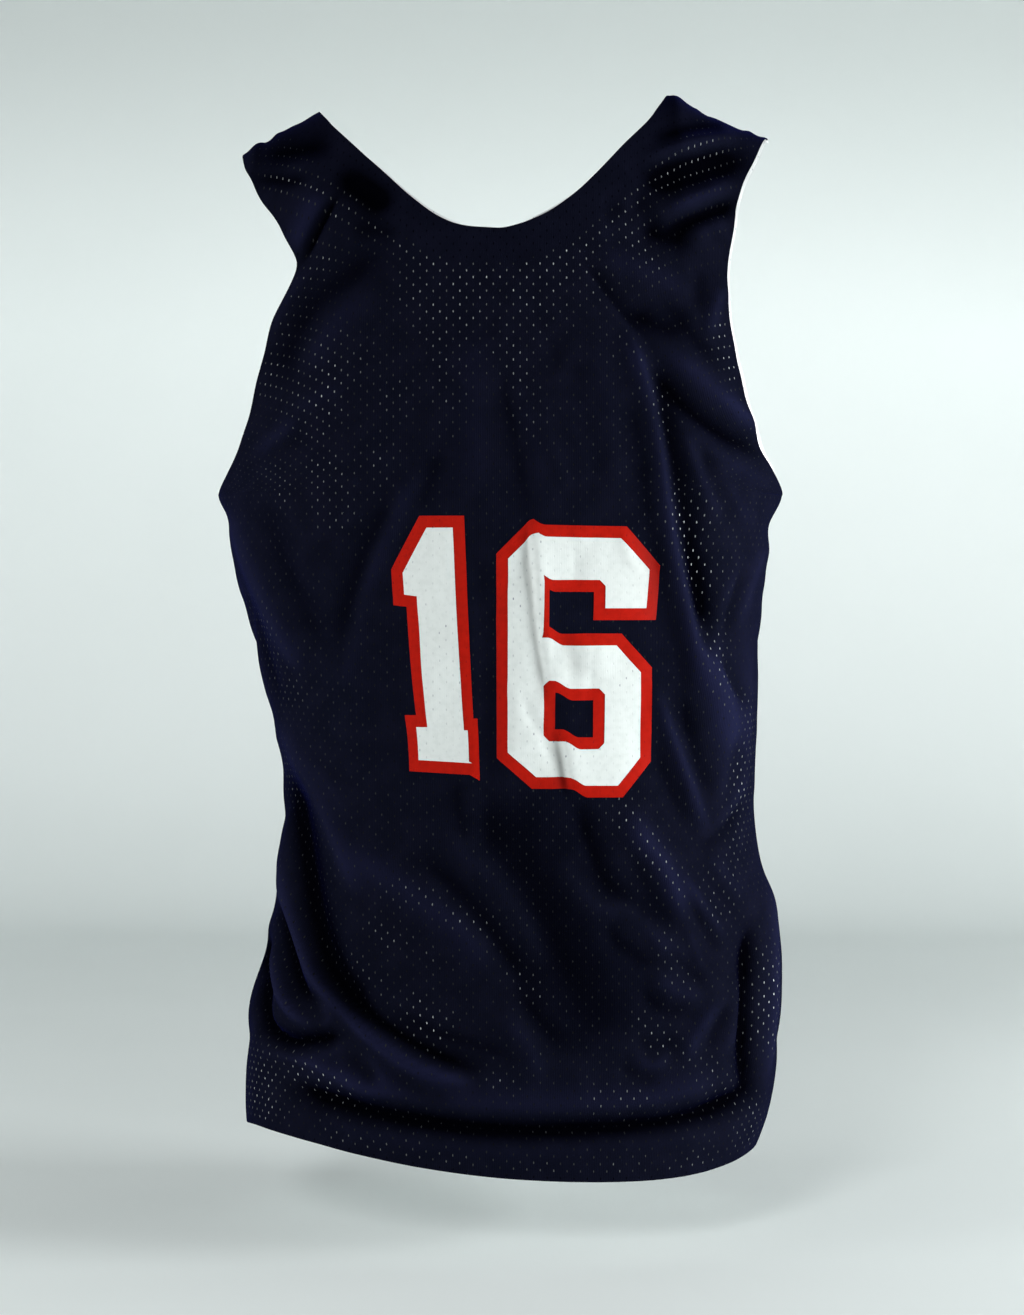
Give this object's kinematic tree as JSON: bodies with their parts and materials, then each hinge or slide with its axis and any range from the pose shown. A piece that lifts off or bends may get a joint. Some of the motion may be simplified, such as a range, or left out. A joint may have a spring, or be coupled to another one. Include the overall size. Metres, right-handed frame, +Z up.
{
  "type": "basketball jersey",
  "caption": "Sleeveless reversible mesh basketball jersey in its worn shape, hollow, with scooped neck, open armholes and straight hem.",
  "frame": {"origin": "midway between the two shoulder seams, at the height where the wearer's shoulders carry the straps", "axes": "+Z up along the wearer's height; the back faces +Y and the front -Y, so the wearer's left is +X"},
  "size_m": [0.4062, 0.2568, 0.7508],
  "materials": {
    "navy_mesh": "satin knitted mesh",
    "white_mesh": "soft knitted mesh",
    "red_print": "matt screen print on mesh",
    "white_print": "matt screen print on mesh"
  },
  "bodies": {
    "root": {"outer_back": "navy_mesh", "outer_front": "navy_mesh", "inner_back": "white_mesh", "inner_front": "white_mesh"}
  },
  "joints": []
}
